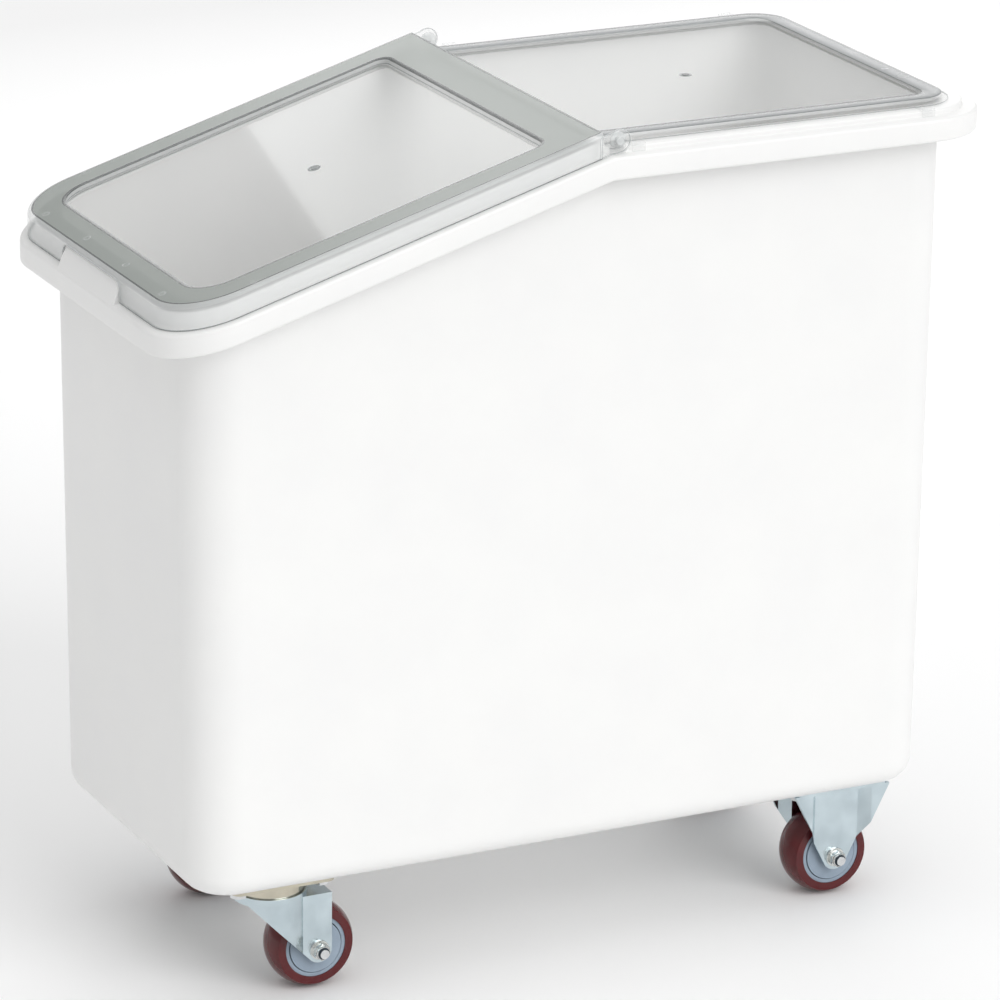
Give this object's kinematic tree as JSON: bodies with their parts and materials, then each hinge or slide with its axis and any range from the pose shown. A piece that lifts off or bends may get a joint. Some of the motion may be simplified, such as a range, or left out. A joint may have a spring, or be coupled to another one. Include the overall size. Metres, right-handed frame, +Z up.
{
  "type": "rolling ingredient bin",
  "caption": "Tall narrow white flour bin with a sloped front, a hinged clear front lid, a lift-off clear rear lid and swivel and rigid casters.",
  "frame": {"origin": "on the floor under the middle of the rim", "axes": "+X towards the rear end of the bin, -X towards the sloped front end, +Y towards the left of a person who stands at the front end and faces the bin, +Z up"},
  "size_m": [0.745, 0.382, 0.7305],
  "materials": {
    "tub_plastic": "satin white moulded polyethylene",
    "clear_lid": "clear moulded polycarbonate, polished panels and satin bands",
    "blue_zinc": "bright blue zinc plate on pressed steel",
    "yellow_zinc": "faintly yellow zinc plate on pressed steel",
    "plated_bolt": "bright zinc plate",
    "lock_nut": "bright zinc plate",
    "spacer_steel": "plain drawn tube",
    "ball_steel": "ground bearing steel",
    "red_tread": "glossy cast polyurethane",
    "wheel_core": "moulded grey nylon"
  },
  "bodies": {
    "bin": {"tub": "tub_plastic", "caster_bolts": "plated_bolt", "caster_washers": "plated_bolt", "caster_dome_nuts": "plated_bolt", "swivel_plate_right": "yellow_zinc", "kingpin_right": "plated_bolt", "kingpin_nut_right": "plated_bolt", "rigid_bracket_right": "blue_zinc", "rear_axle_right": "plated_bolt", "rear_lock_nut_right": "lock_nut", "rear_spacers_right": "spacer_steel", "swivel_plate_left": "yellow_zinc", "kingpin_left": "plated_bolt", "kingpin_nut_left": "plated_bolt", "rigid_bracket_left": "blue_zinc", "rear_axle_left": "plated_bolt", "rear_lock_nut_left": "lock_nut", "rear_spacers_left": "spacer_steel"},
    "rear_lid": {"rear_lid": "clear_lid"},
    "front_lid": {"front_lid": "clear_lid"},
    "swivel_right": {"swivel_fork_right": "blue_zinc", "race_balls_right": "ball_steel", "front_axle_right": "plated_bolt", "front_lock_nut_right": "lock_nut", "front_spacers_right": "spacer_steel"},
    "front_wheel_right": {"front_tread_right": "red_tread", "front_core_right": "wheel_core", "front_covers_right": "wheel_core", "front_bearings_right": "ball_steel"},
    "rear_wheel_right": {"rear_tread_right": "red_tread", "rear_core_right": "wheel_core", "rear_covers_right": "wheel_core", "rear_bearings_right": "ball_steel"},
    "swivel_left": {"swivel_fork_left": "blue_zinc", "race_balls_left": "ball_steel", "front_axle_left": "plated_bolt", "front_lock_nut_left": "lock_nut", "front_spacers_left": "spacer_steel"},
    "front_wheel_left": {"front_tread_left": "red_tread", "front_core_left": "wheel_core", "front_covers_left": "wheel_core", "front_bearings_left": "ball_steel"},
    "rear_wheel_left": {"rear_tread_left": "red_tread", "rear_core_left": "wheel_core", "rear_covers_left": "wheel_core", "rear_bearings_left": "ball_steel"}
  },
  "joints": [
    {"name": "rear_lid_lift", "type": "slide", "parent": "bin", "child": "rear_lid", "axis": [0, 0, 1], "range_m": [0, 0.15]},
    {"name": "front_lid_hinge", "type": "hinge", "parent": "rear_lid", "child": "front_lid", "pos_m": [0.019, 0, 0.7205], "axis": [0, 1, 0], "range_deg": [0, 150]},
    {"name": "swivel_right_turn", "type": "hinge", "parent": "bin", "child": "swivel_right", "pos_m": [-0.25693, -0.10743, 0.088], "axis": [0, 0, 1], "continuous": true},
    {"name": "front_wheel_right_roll", "type": "hinge", "parent": "swivel_right", "child": "front_wheel_right", "pos_m": [-0.22193, -0.10743, 0.038], "axis": [0, 1, 0], "continuous": true},
    {"name": "rear_wheel_right_roll", "type": "hinge", "parent": "bin", "child": "rear_wheel_right", "pos_m": [0.26793, -0.10743, 0.038], "axis": [0, 1, 0], "continuous": true},
    {"name": "swivel_left_turn", "type": "hinge", "parent": "bin", "child": "swivel_left", "pos_m": [-0.25693, 0.10743, 0.088], "axis": [0, 0, 1], "continuous": true},
    {"name": "front_wheel_left_roll", "type": "hinge", "parent": "swivel_left", "child": "front_wheel_left", "pos_m": [-0.22193, 0.10743, 0.038], "axis": [0, 1, 0], "continuous": true},
    {"name": "rear_wheel_left_roll", "type": "hinge", "parent": "bin", "child": "rear_wheel_left", "pos_m": [0.26793, 0.10743, 0.038], "axis": [0, 1, 0], "continuous": true}
  ]
}
